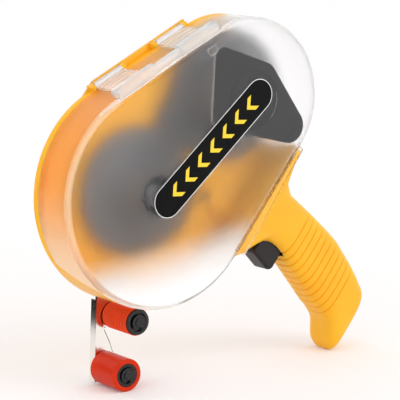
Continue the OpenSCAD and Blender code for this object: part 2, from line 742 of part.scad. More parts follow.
roller_gap = 0.2;
y_roller = y_bracket - collar_h - roller_gap;
y_roller_end = y_roller - roller_l;
module roller_axle(at, y_end) {
  foot = sheet_t + 1;
  top = foot + y_bracket - y_end + clip_gap;
  turned(at, y_bracket + foot)
    polygon([[0, 0], [axle_r + 0.6, 0], [axle_r + 1.2, 0.5], [axle_r + 1.2, 1], [axle_r - 0.8, 1],
      [axle_r - 0.8, foot], [axle_r + 1.5, foot], [axle_r + 1.5, foot + collar_h], [axle_r, foot + collar_h],
      [axle_r, top], [axle_r - 0.7, top], [axle_r - 0.7, top + clip_t], [axle_r, top + clip_t],
      [axle_r, top + 1.2], [axle_r - 0.4, top + 1.5], [0, top + 1.5]]);
}

module roller_axles() {
  color(steel) {
    roller_axle(upper_axle, y_roller_end - cap_reach);
    roller_axle(lower_axle, y_roller_end);
  }
}

module axle_clips() {
  color(steel) {
    clip(upper_axle, axle_r, y_roller_end - cap_reach);
    clip(lower_axle, axle_r, y_roller_end);
  }
}

// Core of a roller: a spool with a sunk ring in its front face, and a wider cap where it reaches out
cap_r_over = 0.6;
module roller_core(at, reach) {
  bore = axle_r + run;
  sink = 1.6;
  cap = reach > 0 ? roller_core_r + cap_r_over : roller_core_r;
  end = roller_l + reach;
  color([0.07, 0.07, 0.07]) turned(at, y_roller)
    polygon(concat([[bore, 0], [roller_core_r, 0]],
      reach > 0 ? [[roller_core_r, roller_l], [cap, roller_l]] : [],
      [[cap, end - 0.3], [cap - 0.3, end], [cap - 1.9, end], [cap - 2.2, end - sink],
        [bore + 1.2, end - sink], [bore + 0.9, end], [bore, end]]));
}

red = [0.86, 0.2, 0.08];
module upper_roller_core() roller_core(upper_axle, cap_reach);
module lower_roller_core() roller_core(lower_axle, 0);
module upper_roller_sleeve() {
  step = roller_l / ridge_n;
  color(red) turned(upper_axle, y_roller) polygon(concat([[roller_core_r, 0]],
    [for (i = [0:ridge_n - 1]) each
      [[upper_r - ridge_d, i * step], [upper_r, (i + 0.25) * step], [upper_r, (i + 0.75) * step]]],
    [[upper_r - ridge_d, roller_l], [roller_core_r, roller_l]]));
}

module lower_roller_sleeve() {
  edge = 0.5;
  color(red) turned(lower_axle, y_roller)
    polygon([[roller_core_r, 0], [lower_r - edge, 0], [lower_r, edge], [lower_r, roller_l - edge],
      [lower_r - edge, roller_l], [roller_core_r, roller_l]]);
}

// Peg of the brake and the upper edge of the trigger's arm, which lies a gap under the peg at rest
peg_at = [-7.2, 25];
peg_r = 2.3;
peg_gap = 0.3;
arm_root = [24, 33];
arm_l = 34.6;
peg_to_root = arm_root - peg_at;
arm_slope = atan2(peg_to_root[1], peg_to_root[0]) + asin((peg_r + peg_gap) / norm(peg_to_root));
arm_tip = arm_root - arm_l * [cos(arm_slope), sin(arm_slope)];

// Trigger: finger blade with round corners, pivot eye, and an arm that reaches into the case to the brake
blade_corners = [[20.2, 14.6, 2.8], [32.9, 13.3, 3.6], [34.5, 31, 2], [19.6, 31, 2]];
module trigger() {
  color([0.15, 0.14, 0.14]) difference() {
    union() {
      in_grip(grip_split + trigger_w / 2) linear_extrude(trigger_w) {
        hull() for (c = blade_corners) translate([c[0], c[1]]) circle(c[2], $fn = 32);
        translate([30, 25]) square([12, 8]);
        translate(trigger_pivot) circle(4);
      }
      in_grip(arm_y) linear_extrude(arm_w) polygon([[24, 27], arm_root, arm_tip, arm_tip - [0, arm_w]]);
    }
    grip_post(trigger_pivot, grip_split + trigger_w, 2 * trigger_w, trigger_pin_r + run);
  }
}

module trigger_pin() {
  color(steel) grip_post(trigger_pivot, grip_split + pin_reach, 2 * pin_reach, trigger_pin_r);
}

module trigger_spring() {
  color(steel) in_grip(grip_split) translate([spring_at, spring_from + spring_wire_r, 0]) rotate([-90, 0, 0])
    coil(spring_coil_r, spring_wire_r, spring_to - spring_from - 2 * spring_wire_r, 6);
}

// Brake: a bell crank with a rubber shoe on the supply flange, moved by the trigger's arm through a peg
lever_t = 2.6;
lever_y = y_flange - flange_t / 2 + lever_t / 2;
shoe_gap = 0.3;
pad_t = 2;
module shoe_sector(r0, r1) {
  translate([-drum_r, 0]) intersection() {
    difference() {
      circle(r1);
      circle(r0);
    }
    polygon([[0, 0], polar(2 * r1, -6), polar(2 * r1, 14)]);
  }
}

module brake_lever() {
  pad_r = supply_flange_r + shoe_gap + pad_t;
  color(yellow) difference() {
    union() {
      in_grip(lever_y) linear_extrude(lever_t) {
        translate(brake_pivot) circle(4.5);
        shoe_sector(pad_r, pad_r + 4);
        polygon([brake_pivot + [-4, 0], brake_pivot + [3, -1], [pad_r + 4 - drum_r, 4],
          [pad_r + 0.7 - drum_r, 6]]);
        polygon([brake_pivot + [0, 4], brake_pivot + [0, -4], peg_at + [0, -peg_r], peg_at + [0, peg_r]]);
      }
      grip_post(peg_at, lever_y, lever_y - arm_y + arm_w, peg_r);
    }
    grip_post(brake_pivot, lever_y + 1, lever_t + 2, 2 + run);
  }
}

module brake_pad() {
  pad_r = supply_flange_r + shoe_gap;
  color([0.1, 0.1, 0.1]) in_grip(lever_y) linear_extrude(lever_t) shoe_sector(pad_r, pad_r + pad_t);
}

module brake_pin() {
  at = grip_point(brake_pivot[0], brake_pivot[1]);
  head = y_plate - lever_y + lever_t + 0.3;
  color(steel) turned(at, y_plate)
    polygon([[0, 0], [1.5, 0], [1.5, 4], [2, 4], [2, head], [3.6, head], [3.6, head + 1], [0, head + 1]]);
}

placed() {
  housing();
  grip_cover();
  grip_screws();
  clear_cover();
  cover_label();
  spool_retainer();
  hinge_pins();
  supply_spindle();
  supply_hub();
  supply_gear();
  idler_pin();
  idler_gear();
  take_up_spindle();
  take_up_gear();
  clutch_felt();
  take_up_spool();
  clutch_spring();
  spring_cap();
  spindle_clips();
  roller_bracket();
  bracket_screws();
  roller_axles();
  upper_roller_core();
  upper_roller_sleeve();
  lower_roller_core();
  lower_roller_sleeve();
  axle_clips();
  trigger();
  trigger_pin();
  trigger_spring();
  brake_lever();
  brake_pad();
  brake_pin();
}
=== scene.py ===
# %% [markdown]
# # A hand dispenser for adhesive transfer tape
# The real tool is a yellow case with a pistol grip. A roll of tape turns on a post under a frosted cover,
# two rollers at the nose lay the tape down, and a spool winds up the liner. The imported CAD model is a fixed
# frame: every piece below takes its place from that model's axes and boxes, so nothing has to be fitted
# afterwards. Lengths are written in millimetres, and `MM` turns them into the frame's metres.

# %% Load the frame
import json
import math

import bmesh
import bpy
import numpy as np
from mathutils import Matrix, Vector


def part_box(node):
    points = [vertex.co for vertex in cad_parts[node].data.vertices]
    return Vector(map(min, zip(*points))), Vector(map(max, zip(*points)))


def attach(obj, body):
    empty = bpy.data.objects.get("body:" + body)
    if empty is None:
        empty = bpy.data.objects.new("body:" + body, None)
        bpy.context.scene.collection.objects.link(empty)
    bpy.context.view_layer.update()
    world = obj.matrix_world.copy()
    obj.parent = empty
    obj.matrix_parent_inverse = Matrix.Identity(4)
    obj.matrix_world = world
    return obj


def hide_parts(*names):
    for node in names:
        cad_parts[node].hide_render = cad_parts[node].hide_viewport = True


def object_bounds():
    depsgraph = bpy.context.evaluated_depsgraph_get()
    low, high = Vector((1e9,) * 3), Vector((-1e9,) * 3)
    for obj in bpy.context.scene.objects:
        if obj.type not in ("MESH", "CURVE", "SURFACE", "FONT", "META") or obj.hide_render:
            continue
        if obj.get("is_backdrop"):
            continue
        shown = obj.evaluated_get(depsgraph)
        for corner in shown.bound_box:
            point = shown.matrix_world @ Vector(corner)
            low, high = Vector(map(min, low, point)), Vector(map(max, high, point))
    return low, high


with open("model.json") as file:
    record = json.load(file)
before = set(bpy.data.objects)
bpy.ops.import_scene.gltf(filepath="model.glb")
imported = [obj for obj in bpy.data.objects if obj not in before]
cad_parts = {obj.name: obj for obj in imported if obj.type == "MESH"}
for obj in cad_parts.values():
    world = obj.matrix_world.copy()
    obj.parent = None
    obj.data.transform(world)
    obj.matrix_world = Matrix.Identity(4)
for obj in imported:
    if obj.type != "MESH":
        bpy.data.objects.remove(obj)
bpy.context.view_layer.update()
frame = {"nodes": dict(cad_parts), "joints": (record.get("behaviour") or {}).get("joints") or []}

MM = 0.001
nodes = frame["nodes"]
joints = {joint["name"]: joint for joint in frame["joints"]}

# %% [markdown]
# ## Two directions of the case
# The case is two circles and the straight edges that touch both. The grip stands square on one straight
# edge and the hinge lies along the other. Pieces could be placed in x and z, but such numbers say little
# about the object. In the frame of an edge, a piece has a distance off the edge and a distance along it, as
# on a drawing.

# %% Frames of the two straight edges
DRUM_R, LOBE_R = 64.5, 47.5
supply = np.array(joints["supply_spin"]["pos_m"])
take_up = np.array(joints["take_up_spin"]["pos_m"])
lobe = (take_up - supply)[[0, 2]] / MM
lean = math.atan2(lobe[1], lobe[0])
flare = math.asin((DRUM_R - LOBE_R) / np.hypot(*lobe))
GRIP_A, HINGE_A = lean + flare, lean - flare
GRIP_OFF = np.array([math.sin(GRIP_A), -math.cos(GRIP_A)])
GRIP_ALONG = np.array([math.cos(GRIP_A), math.sin(GRIP_A)])
HINGE_OFF = np.array([-math.sin(HINGE_A), math.cos(HINGE_A)])
HINGE_ALONG = np.array([math.cos(HINGE_A), math.sin(HINGE_A)])
print("lean of the grip's edge, degrees:", round(math.degrees(GRIP_A), 1))
print("lean of the hinge's edge, degrees:", round(math.degrees(HINGE_A), 1))


# %% Into the frame of the grip's edge, and out of an edge's frame
def grip_points(off, along, depth):
    """Place = supply axis + (drum radius + off) * normal + along * direction, at that depth; from mm."""
    off, along, depth = np.broadcast_arrays(*(np.asarray(v, float) for v in (off, along, depth)))
    flat = (DRUM_R + off)[..., None] * GRIP_OFF + along[..., None] * GRIP_ALONG
    return np.stack([supply[0] + flat[..., 0] * MM, depth * MM, supply[2] + flat[..., 1] * MM], -1)


def edge_frame(places, normal, direction):
    """Off = place . normal - drum radius, along = place . direction; mm from the supply axis."""
    flat = places[:, [0, 2]]
    return flat @ normal - DRUM_R, flat @ direction


print("the grip's edge starts at, m:", grip_points(0, 0, 0).round(4).tolist())

# %% [markdown]
# ## Helpers for materials
# Colours are written as the sRGB hex that the eye reads, and one function turns them into linear light. A
# node could be added in three or four lines each time. `add_node` does it in one: it makes the node, sets
# its inputs by name, and links any input that is given as a socket.


# %% Colour and node helpers
def linear(hex_code):
    """sRGB hex to linear RGBA: c/12.92 under 0.04045, else ((c+0.055)/1.055)^2.4."""
    srgb = np.array([int(hex_code[i:i + 2], 16) for i in (1, 3, 5)]) / 255
    rgb = np.where(srgb <= 0.04045, srgb / 12.92, ((srgb + 0.055) / 1.055) ** 2.4)
    return (*rgb.tolist(), 1.0)


def add_node(tree, kind, attributes=None, **inputs):
    """Adds one node; an input is a value, or a socket to link from. Underscores stand for spaces."""
    node = tree.nodes.new(kind)
    for name, value in (attributes or {}).items():
        setattr(node, name, value)
    for name, value in inputs.items():
        key = int(name[2:]) if name.startswith("in") else name.replace("_", " ")
        socket = node.inputs[key]
        if isinstance(value, bpy.types.NodeSocket):
            tree.links.new(value, socket)
        else:
            socket.default_value = value
    return node


print("mid grey in linear light:", round(linear("#808080")[0], 3))


# %% A new material
def new_material(name, colour, **sockets):
    """A Principled material whose constant values sit on the shader's own sockets."""
    material = bpy.data.materials.new(name)
    material.use_nodes = True
    shader = material.node_tree.nodes["Principled BSDF"]
    shader.inputs["Base Color"].default_value = linear(colour)
    for key, value in sockets.items():
        shader.inputs[key.replace("_", " ")].default_value = value
    return material, material.node_tree, shader


print("materials so far:", len(bpy.data.materials))

# %% [markdown]
# ## Surface detail
# Moulded plastic is never quite even. A fine grain makes its gloss soft, and a slow drift over a few
# centimetres shifts its colour and gloss a little. Both could be painted as images, but noise on Object
# coordinates needs no unwrapping and keeps its size in millimetres. Real grain is about 0.1 mm, which is
# far under a pixel here, so it is drawn three to five times as coarse to show at all.


# %% Grain and drift
def grain(tree, shader, size_mm, height_mm, strength=0.35):
    """Bump from noise whose cells are size_mm across and height_mm high."""
    place = add_node(tree, "ShaderNodeTexCoord")
    noise = add_node(tree, "ShaderNodeTexNoise", Vector=place.outputs["Object"],
                     Scale=1 / (size_mm * MM), Detail=2.0)
    bump = add_node(tree, "ShaderNodeBump", Height=noise.outputs["Fac"],
                    Strength=strength, Distance=height_mm * MM)
    tree.links.new(bump.outputs["Normal"], shader.inputs["Normal"])
    return place


def drift(tree, shader, place, dark, light, size_mm, rough=(0.3, 0.4)):
    """Colour between dark and light, and roughness between two values, from slow noise."""
    noise = add_node(tree, "ShaderNodeTexNoise", Vector=place.outputs["Object"],
                     Scale=1 / (size_mm * MM), Detail=3.0)
    ramp = add_node(tree, "ShaderNodeValToRGB", Fac=noise.outputs["Fac"])
    first, last = ramp.color_ramp.elements
    first.position, last.position = 0.3, 0.7
    first.color, last.color = linear(dark), linear(light)
    gloss = add_node(tree, "ShaderNodeMapRange", Value=noise.outputs["Fac"], To_Min=rough[0], To_Max=rough[1])
    tree.links.new(ramp.outputs["Color"], shader.inputs["Base Color"])
    tree.links.new(gloss.outputs["Result"], shader.inputs["Roughness"])


print("noise scale of a 0.5 mm grain:", round(1 / (0.5 * MM)))

# %% [markdown]
# ## Yellow case plastic
# The case and grip are injection-moulded ABS with a satin skin. Light goes a little way into the plastic,
# which warms its edges and the floor beside it. A plain diffuse yellow looks like paint, so a little
# subsurface light, whose red part travels furthest, is added under a weak coat.


# %% Yellow plastic
def yellow_plastic():
    """ABS: satin gloss, and light that travels 2 mm in, red furthest and blue least."""
    material, tree, shader = new_material(
        "moulded_yellow_plastic", "#F9B61C", Roughness=0.36, Specular_IOR_Level=0.3,
        Coat_Weight=0.08, Coat_Roughness=0.25, Subsurface_Weight=0.15, Subsurface_Scale=2 * MM)
    shader.inputs["Subsurface Radius"].default_value = (1.0, 0.55, 0.1)
    place = grain(tree, shader, size_mm=0.5, height_mm=0.02)
    drift(tree, shader, place, "#F8B118", "#FABB22", size_mm=30)
    return material


YELLOW = yellow_plastic()
print("case plastic:", YELLOW.name)

# %% [markdown]
# ## Frosted cover plastic
# The cover is clear polystyrene moulded against a frosted tool. What touches it stays sharp and what lies
# deeper blurs. Mixing in a transparent shader would fade the reels without blurring them, so the cover is
# true transmission with a high roughness, and a thin coat keeps its outside glossy. Towards the low end less
# light passes and it turns milky white, a painted brightening for the light of the white floor, and its
# nose-side wall has the warm light of the yellow case painted into its tint.


# %% Frost, haze and a warm tint
def frosted_plastic(name, rough, through):
    """Clear plastic with a frosted face: through is the share of light that passes, the rest is milky."""
    return new_material(name, "#FFFFFF", Roughness=rough, IOR=1.2, Transmission_Weight=through,
                        Coat_Weight=0.2, Coat_Roughness=0.08)[0]


def painted_floor_glow(material, heading, clear_at, white_at):
    """Painted brightening: the share of light that passes along a heading, 1 at clear_at, 0 at white_at, mm
    from the supply axis.
    """
    tree = material.node_tree
    place = add_node(tree, "ShaderNodeTexCoord")
    start = float(np.dot(heading, supply))
    reach = add_node(tree, "ShaderNodeVectorMath", {"operation": "DOT_PRODUCT"},
                     in0=place.outputs["Object"], in1=heading)
    share = add_node(tree, "ShaderNodeMapRange", {"interpolation_type": "SMOOTHSTEP"},
                     Value=reach.outputs["Value"], From_Min=start + clear_at * MM,
                     From_Max=start + white_at * MM, To_Min=1.0, To_Max=0.0)
    tree.links.new(share.outputs["Result"], tree.nodes["Principled BSDF"].inputs["Transmission Weight"])


def painted_warm_tint(material, tint, warm_until, white_from):
    """Painted warm light: a tint giving way to white along x, between two distances in mm from the supply
    axis.
    """
    tree = material.node_tree
    place = add_node(tree, "ShaderNodeTexCoord")
    split = add_node(tree, "ShaderNodeSeparateXYZ", Vector=place.outputs["Object"])
    share = add_node(tree, "ShaderNodeMapRange", Value=split.outputs["X"],
                     From_Min=supply[0] + warm_until * MM, From_Max=supply[0] + white_from * MM)
    ramp = add_node(tree, "ShaderNodeValToRGB", Fac=share.outputs["Result"])
    first, last = ramp.color_ramp.elements
    first.color, last.color = linear(tint), linear("#FFFFFF")
    tree.links.new(ramp.outputs["Color"], tree.nodes["Principled BSDF"].inputs["Base Color"])


print("haze and tint are measured from the supply axis, m:", supply.round(4).tolist())

# %% Finishes of the cover
# The face blurs what is behind it, and its painted whitening for the floor's light runs almost straight down
CLEAR = frosted_plastic("frosted_clear_plastic", rough=0.55, through=1.0)
painted_floor_glow(CLEAR, (0.12, 0.0, -0.993), clear_at=22, white_at=66)
# The wall is seen against the yellow case, whose warm light is painted into its tint on the nose side
WALL = frosted_plastic("warm_wall_plastic", rough=0.5, through=1.0)
painted_warm_tint(WALL, "#FFDDB4", warm_until=-15, white_from=25)
painted_floor_glow(WALL, (0.0, 0.0, -1.0), clear_at=-15, white_at=52)
# The round rim catches light and reads as a pale line: a milkier finish, a painted highlight
RIM = frosted_plastic("pale_rim_plastic", rough=0.45, through=0.86)
# The straps and the bead look milky, partly from their thick plastic and partly as a painted highlight
MILKY = frosted_plastic("milky_hinge_plastic", rough=0.22, through=0.62)
# The flat lip along the grip hardly blurs the case behind it
LIP = frosted_plastic("clear_lip_plastic", rough=0.25, through=1.0)
print("cover finishes:", [m.name for m in (CLEAR, WALL, RIM, MILKY, LIP)])

# %% [markdown]
# ## Dark plastics, felt and brake rubber
# The reels, gears, roller cores, trigger and label are all dark mouldings or films that differ in gloss and
# in how grey they look. One function with a dark and a light shade and a range of roughness makes them all.
# Behind the frosted cover the reels look paler than in the hand, because the frost scatters light over them;
# that light is painted into their shades, which are greys.


# %% Dark plastics
def dark_plastic(name, dark, light, rough, shine=0.5):
    """Fine grain, and a drift between two shades over 12 mm."""
    material, tree, shader = new_material(name, dark, Roughness=rough[0], Specular_IOR_Level=shine)
    place = grain(tree, shader, size_mm=0.4, height_mm=0.02)
    drift(tree, shader, place, dark, light, size_mm=12, rough=rough)
    return material


# Printed polyester film, nearly black and flat
LABEL = dark_plastic("black_label_film", "#0B0B0B", "#121212", rough=(0.25, 0.32), shine=0.06)
# Moulded cores of the rollers, black with a satin gloss
BLACK = dark_plastic("satin_black_plastic", "#141414", "#1C1C1C", rough=(0.3, 0.4), shine=0.4)
# Retainer plate, matt so that it shows no lamps; black, drawn grey with the light the frost scatters painted
# in
GREY = dark_plastic("dark_grey_plastic", "#88888A", "#8E8E90", rough=(0.45, 0.55), shine=0.05)
# Reels and gears: black plastic drawn grey, with the light the frost scatters over them painted in
REEL = dark_plastic("black_reel_plastic", "#58585A", "#606062", rough=(0.4, 0.5))
# Hollow of the supply post: painted light, a paler grey for the light the cover scatters into it
LIT_HOLLOW = dark_plastic("pale_reel_plastic", "#909092", "#98989A", rough=(0.5, 0.6), shine=0.1)
# Trigger, a warm black with the gloss of a handled part
TRIGGER = dark_plastic("black_trigger_plastic", "#191516", "#211C1D", rough=(0.35, 0.45), shine=0.3)
# Wool felt of the clutch, and the rubber of the brake pad: no gloss at all
FELT = dark_plastic("pressed_felt", "#857A6B", "#968B7B", rough=(0.85, 0.95))
RUBBER = dark_plastic("black_brake_rubber", "#151515", "#1B1B1B", rough=(0.7, 0.8))
print("materials so far:", len(bpy.data.materials))

# %% [markdown]
# ## Red rubber
# Both rollers have sleeves of red silicone rubber, which adhesive hardly sticks to. The ribbed one is drawn
# brighter, a painted lift against the shade the case casts on it, and its grooves hold shadow. They could be
# left to the lamps, but the ribs are under two pixels apart in the picture, so the groove bottoms get painted
# shade, a darker finish of their own, to be seen.


# %% Red rubber
def red_rubber(name, dark, light):
    """Silicone: weak gloss, fine grain, and a drift between two reds over 8 mm."""
    material, tree, shader = new_material(name, dark, Roughness=0.35, Specular_IOR_Level=0.12)
    place = grain(tree, shader, size_mm=0.3, height_mm=0.01)
    drift(tree, shader, place, dark, light, size_mm=8, rough=(0.28, 0.4))
    return material


# Smooth sleeve of the lower roller: a deep red with a soft highlight
RED = red_rubber("red_silicone_rubber", "#CB2C0B", "#D53410")
# Ribbed sleeve: a brighter orange red on the crests, a painted lift against the case's shade
RED_RIBBED = red_rubber("red_ribbed_rubber", "#EC4616", "#F24E1C")
# Groove bottoms: painted shade, dark and matt, so that the ribs stand apart
GROOVE_SHADE = new_material("painted_groove_shade_rubber", "#6E1606", Roughness=0.7, Specular_IOR_Level=0.05)[0]
print("rubbers:", [m.name for m in (RED, RED_RIBBED, GROOVE_SHADE)])

# %% [markdown]
# ## Steel and print ink
# Pins, screws and springs are bright steel, the bracket is polished sheet whose cut edge is drawn as a
# painted dark reflection, and the axles and clips are blackened against rust. A metal's look comes from what
# it mirrors, so these differ in colour and roughness alone. Phosphated steel is a matt grey coat over metal
# and is drawn as the coat.


# %% Steel and ink
def steel(name, colour, rough):
    """Bare metal with rolling marks 0.3 mm apart, a few micrometres deep."""
    material, tree, shader = new_material(name, colour, Roughness=rough, Metallic=1.0)
    grain(tree, shader, size_mm=0.3, height_mm=0.004, strength=0.15)
    return material


# Turned pins, screws and springs: small sharp highlights
STEEL = steel("bright_steel", "#D2D3D5", rough=0.16)
# Bracket: nearly white, so it shows the studio like a mirror
POLISHED = steel("polished_steel", "#F4F2EC", rough=0.16)
# Axles and clips: dark, with thin bright lines
BLACKENED = steel("blackened_steel", "#3A3A3C", rough=0.2)
# Supply spindle and the spindle clips: matt grey that mirrors nothing
PHOSPHATED = new_material("phosphated_steel", "#6C6C6E", Roughness=0.6, Specular_IOR_Level=0.1)[0]
# Cut edge of the bracket: a thin dark line, a painted dark reflection
DARK_EDGE = new_material("dull_cut_steel", "#3A3632", Roughness=0.5, Specular_IOR_Level=0.2)[0]
# Screen-printed inks of the label: flat, opaque colour
WHITE_INK = new_material("white_print_ink", "#F4F4F2", Roughness=0.45)[0]
YELLOW_INK = new_material("yellow_print_ink", "#F6D21C", Roughness=0.45)[0]
print("materials:", [m.name for m in bpy.data.materials])

# %% [markdown]
# ## Finish of every node
# Most CAD nodes already have the right shape and only need a finish. A table from finish to nodes shows at
# a glance which pieces share one, and whatever it leaves out is bright steel.

# %% Give each node its material
FINISH = {
    YELLOW: ["housing", "grip_cover", "brake_lever"],
    CLEAR: ["clear_cover"],
    LABEL: ["cover_label"],
    GREY: ["spool_retainer"],
    REEL: ["supply_hub", "take_up_spool", "supply_gear", "idler_gear", "take_up_gear"],
    BLACK: ["upper_roller_core", "lower_roller_core"],
    PHOSPHATED: ["supply_spindle", "spindle_clips"],
    TRIGGER: ["trigger"],
    RED: ["upper_roller_sleeve", "lower_roller_sleeve"],
    FELT: ["clutch_felt"],
    RUBBER: ["brake_pad"],
    BLACKENED: ["roller_axles", "axle_clips", "brake_pin"],
}


def finish_node(name, material):
    """Puts one material on a CAD node's own slots."""
    slots = nodes[name].data.materials
    slots.clear()
    slots.append(material)


finished = {name for names in FINISH.values() for name in names}
for material, names in FINISH.items():
    for name in names:
        finish_node(name, material)
for name in set(nodes) - finished:
    finish_node(name, STEEL)
print("finished nodes:", len(nodes), "of them bright steel:", len(set(nodes) - finished))

# %% [markdown]
# ## From arrays to a piece
# A surface is a grid of points. Its faces follow from the grid's shape alone, so they are worked out as one
# array and not face by face. A new mesh then has its doubles merged and its normals turned outwards, and a
# copy of a CAD node has its loose triangles merged.

# %% Faces and shading
SMOOTH = math.radians(32)


def grid_faces(rows, columns, wrap):
    """Quads between neighbouring rows and columns; wrap joins the last column to the first."""
    last = columns if wrap else columns - 1
    i, j = np.meshgrid(np.arange(rows - 1), np.arange(last), indexing="ij")
    k = (j + 1) % columns
    here, above = i * columns, (i + 1) * columns
    return np.stack([here + j, here + k, above + k, above + j], -1).reshape(-1, 4)


def closed_faces(rows, columns):
    """Quads round a tube of rows, and one face over each end."""
    ends = [np.arange(columns), (rows - 1) * columns + np.arange(columns)]
    return list(grid_faces(rows, columns, True)) + ends


def shade(mesh, angle=SMOOTH):
    """Smooth faces with sharp edges where the surface turns by more than the angle."""
    mesh.polygons.foreach_set("use_smooth", np.ones(len(mesh.polygons), bool))
    mesh.set_sharp_from_angle(angle=angle)


print("quads of a 3 by 4 grid:", len(grid_faces(3, 4, False)))

# %% New pieces and copies of CAD nodes
NEW_MERGE, CAD_MERGE = 1e-7, 1e-6  # points closer than this, in m, are one


def link(name, mesh, materials):
    """An object at the origin for a mesh, with its materials and shading."""
    piece = bpy.data.objects.new(name, mesh)
    bpy.context.scene.collection.objects.link(piece)
    for material in materials:
        mesh.materials.append(material)
    shade(mesh)
    return piece


def make_piece(name, points, faces, materials):
    """A piece with its place in its points and its normals outwards."""
    mesh = bpy.data.meshes.new(name)
    mesh.from_pydata(np.reshape(points, (-1, 3)).tolist(), [], [list(map(int, face)) for face in faces])
    shell = bmesh.new()
    shell.from_mesh(mesh)
    bmesh.ops.remove_doubles(shell, verts=shell.verts, dist=NEW_MERGE)
    bmesh.ops.recalc_face_normals(shell, faces=shell.faces)
    shell.to_mesh(mesh)
    shell.free()
    return link(name, mesh, materials)


def copy_node(name, node, materials, cut=None):
    """A merged copy of a CAD node's mesh; cut = (point, normal) takes off what lies beyond a plane."""
    shell = bmesh.new()
    shell.from_mesh(nodes[node].data)
    bmesh.ops.remove_doubles(shell, verts=shell.verts, dist=CAD_MERGE)
    if cut:
        everything = list(shell.verts) + list(shell.edges) + list(shell.faces)
        bmesh.ops.bisect_plane(shell, geom=everything, plane_co=cut[0], plane_no=cut[1], clear_outer=True)
    mesh = bpy.data.meshes.new(name)
    shell.to_mesh(mesh)
    shell.free()
    piece = link(name, mesh, materials)
    piece.modifiers.new("flat_faces", "WEIGHTED_NORMAL").keep_sharp = True
    return piece


print("CAD nodes to copy from:", len(nodes))


# %% Join and carve
def join(piece, other):
    """Adds the other piece's surface to the piece, then removes the other piece."""
    whole = bmesh.new()
    whole.from_mesh(piece.data)
    whole.from_mesh(other.data)
    whole.to_mesh(piece.data)
    whole.free()
    bpy.data.objects.remove(other)
    shade(piece.data)


def carve(piece, cutters):
    """Takes the cutters' room out of a closed piece, then removes the cutters."""
    for cutter in cutters:
        step = piece.modifiers.new("room", "BOOLEAN")
        step.operation, step.solver, step.object = "DIFFERENCE", "EXACT", cutter
    shown = piece.evaluated_get(bpy.context.evaluated_depsgraph_get())
    carved = bpy.data.meshes.new_from_object(shown)
    piece.modifiers.clear()
    piece.data = carved
    shade(carved)
    for cutter in cutters:
        bpy.data.objects.remove(cutter)


print("smooth up to a turn of, degrees:", round(math.degrees(SMOOTH)))

# %% [markdown]
# ## The grip
# The grip is moulded in two halves that meet on a flat split, with fine grooves across it that fade out
# towards the rear edge. It could be sculpted or subdivided from a box, but a loft follows a measured
# outline: at each distance `t` off the case's edge the section is a superellipse with its own front and
# rear limits, half thickness and squareness, and a smooth curve runs through the values at the stations.

# %% Stations and the curve through them
GRIP_HALF, GRIP_SPLIT = 13.0, 1.0
STATIONS = np.array([
    # t, front, rear, half thickness over the plain grip, squareness
    (0.4, -2, 78, 3.4, 9), (3, 0.5, 77, 3.2, 8), (6, 4, 70, 2.6, 7), (9, 8, 60, 2, 6), (13, 14, 56.9, 1.4, 5),
    (18, 20, 54.7, 0.8, 4), (24, 22.8, 54.5, 0.4, 3.6), (32, 22.8, 54.4, 0.1, 3.4), (45, 19.4, 53.9, 0, 3.4),
    (66, 14.3, 52.1, 0, 3.4), (77.5, 11.4, 49, 0, 3.4), (82.6, 10.7, 47.5, 0, 3.4), (85.7, 9.8, 46.5, 0, 3.5),
    (88.8, 9.2, 45, 0, 3.7), (91.9, 8, 43.7, 0, 4), (94.9, 6, 42.3, 0, 4.2), (98, 2, 40.8, 0, 4.3),
    (101.1, -1.8, 39.6, 0, 4.3), (104.3, -3.7, 37.6, -0.4, 4.2), (106.6, -4.4, 34.4, -1.6, 4),
    (107.9, -3.7, 31, -3.2, 3.8), (108.5, -1.4, 28, -5, 3.6)])


def through_stations(t, column):
    """Cubic Hermite curve: at each station the slope is that between its two neighbours."""
    at, value = STATIONS[:, 0], STATIONS[:, column]
    order, final = np.arange(len(at)), len(at) - 1
    before, after = np.maximum(order - 1, 0), np.minimum(order + 1, final)
    slope = (value[after] - value[before]) / (at[after] - at[before])
    i = np.clip(np.searchsorted(at, t, side="right") - 1, 0, final - 1)
    width = at[i + 1] - at[i]
    u = (t - at[i]) / width
    return ((2 * u**3 - 3 * u**2 + 1) * value[i] + (u**3 - 2 * u**2 + u) * width * slope[i]
            + (3 * u**2 - 2 * u**3) * value[i + 1] + (u**3 - u**2) * width * slope[i + 1])


middle_t = STATIONS[[0, -1], 0].mean()
print("front and rear half way down, mm:", [round(float(through_stations(middle_t, c)), 1) for c in (1, 2)])

# %% Surface of one half of the grip
GROOVES = 36 + 5 * np.arange(11)
GROOVE_W, GROOVE_D, SEAM = 1.2, 0.8, 0.25
FADE_FROM, FADE_OVER = 0.55, 0.6  # radians round the section from the rear edge
ROWS, GROOVE_ROWS, COLUMNS = 110, 9, 73


